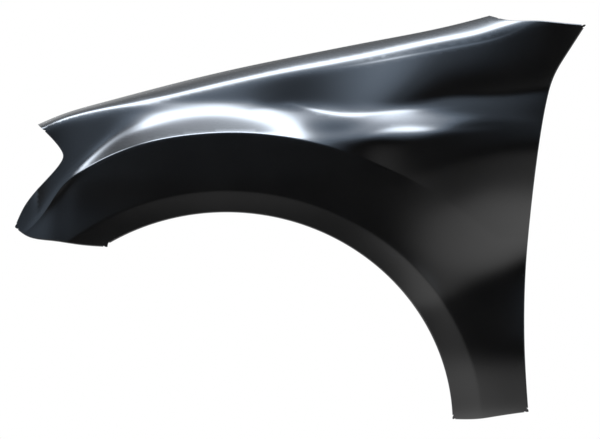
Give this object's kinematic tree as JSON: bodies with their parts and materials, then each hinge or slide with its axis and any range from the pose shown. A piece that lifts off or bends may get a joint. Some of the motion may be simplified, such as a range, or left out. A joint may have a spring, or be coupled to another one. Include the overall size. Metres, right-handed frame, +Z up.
{
  "type": "car fender",
  "caption": "Left front fender pressed from sheet steel, with a flared wheel arch, a soft shoulder line, a headlamp notch and folded mounting flanges.",
  "frame": {"origin": "on the underside of the middle bolt pad of the bonnet-gap flange, on the pad's material just behind its hole, where the panel sits on the car's upper rail", "axes": "+X towards the rear of the car, along the panel's length; +Y inboard, so the painted outside faces -Y; +Z up"},
  "size_m": [1.1151, 0.1719, 0.789],
  "materials": {
    "black_primer": "smooth black dip primer, semi-gloss"
  },
  "bodies": {
    "root": {"fender_panel": "black_primer"}
  },
  "joints": []
}
